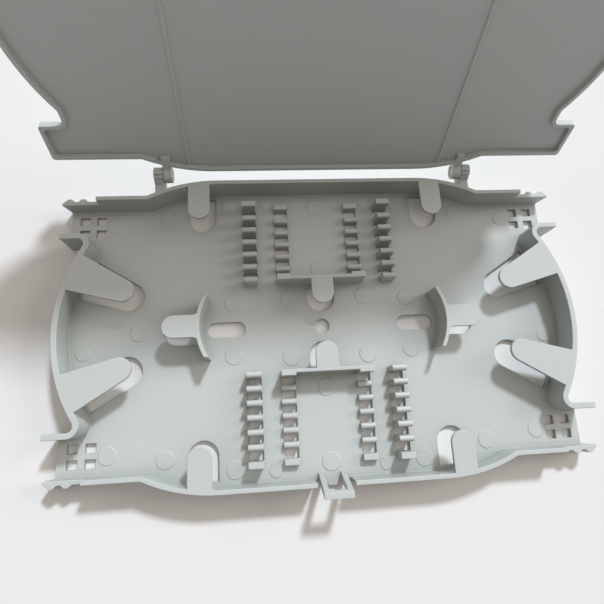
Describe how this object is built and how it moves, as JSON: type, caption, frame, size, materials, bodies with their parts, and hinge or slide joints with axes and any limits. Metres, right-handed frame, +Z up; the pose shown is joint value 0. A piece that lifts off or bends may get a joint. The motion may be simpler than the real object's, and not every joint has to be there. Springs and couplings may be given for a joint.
{
  "type": "fibre splice tray",
  "caption": "Flat fibre splice tray with rounded ends, splice combs, hold-down tabs, curved mandrels, cable ports and a hinged cover standing open.",
  "frame": {"origin": "on the axis of the tray's centre hole, at the underside of the floor", "axes": "+X along the tray, +Y towards the cover's hinge, +Z up out of the open tray"},
  "size_m": [0.161, 0.1334, 0.1009],
  "materials": {
    "pale_plastic": "fine satin moulding, pale greenish grey"
  },
  "bodies": {
    "tray": {"tray_base": "pale_plastic"},
    "cover": {"hinged_cover": "pale_plastic"}
  },
  "joints": [
    {"name": "cover_hinge", "type": "hinge", "parent": "tray", "child": "cover", "pos_m": [0, 0.0487, 0.01095], "axis": [1, 0, 0], "range_deg": [0, 110.4]}
  ]
}
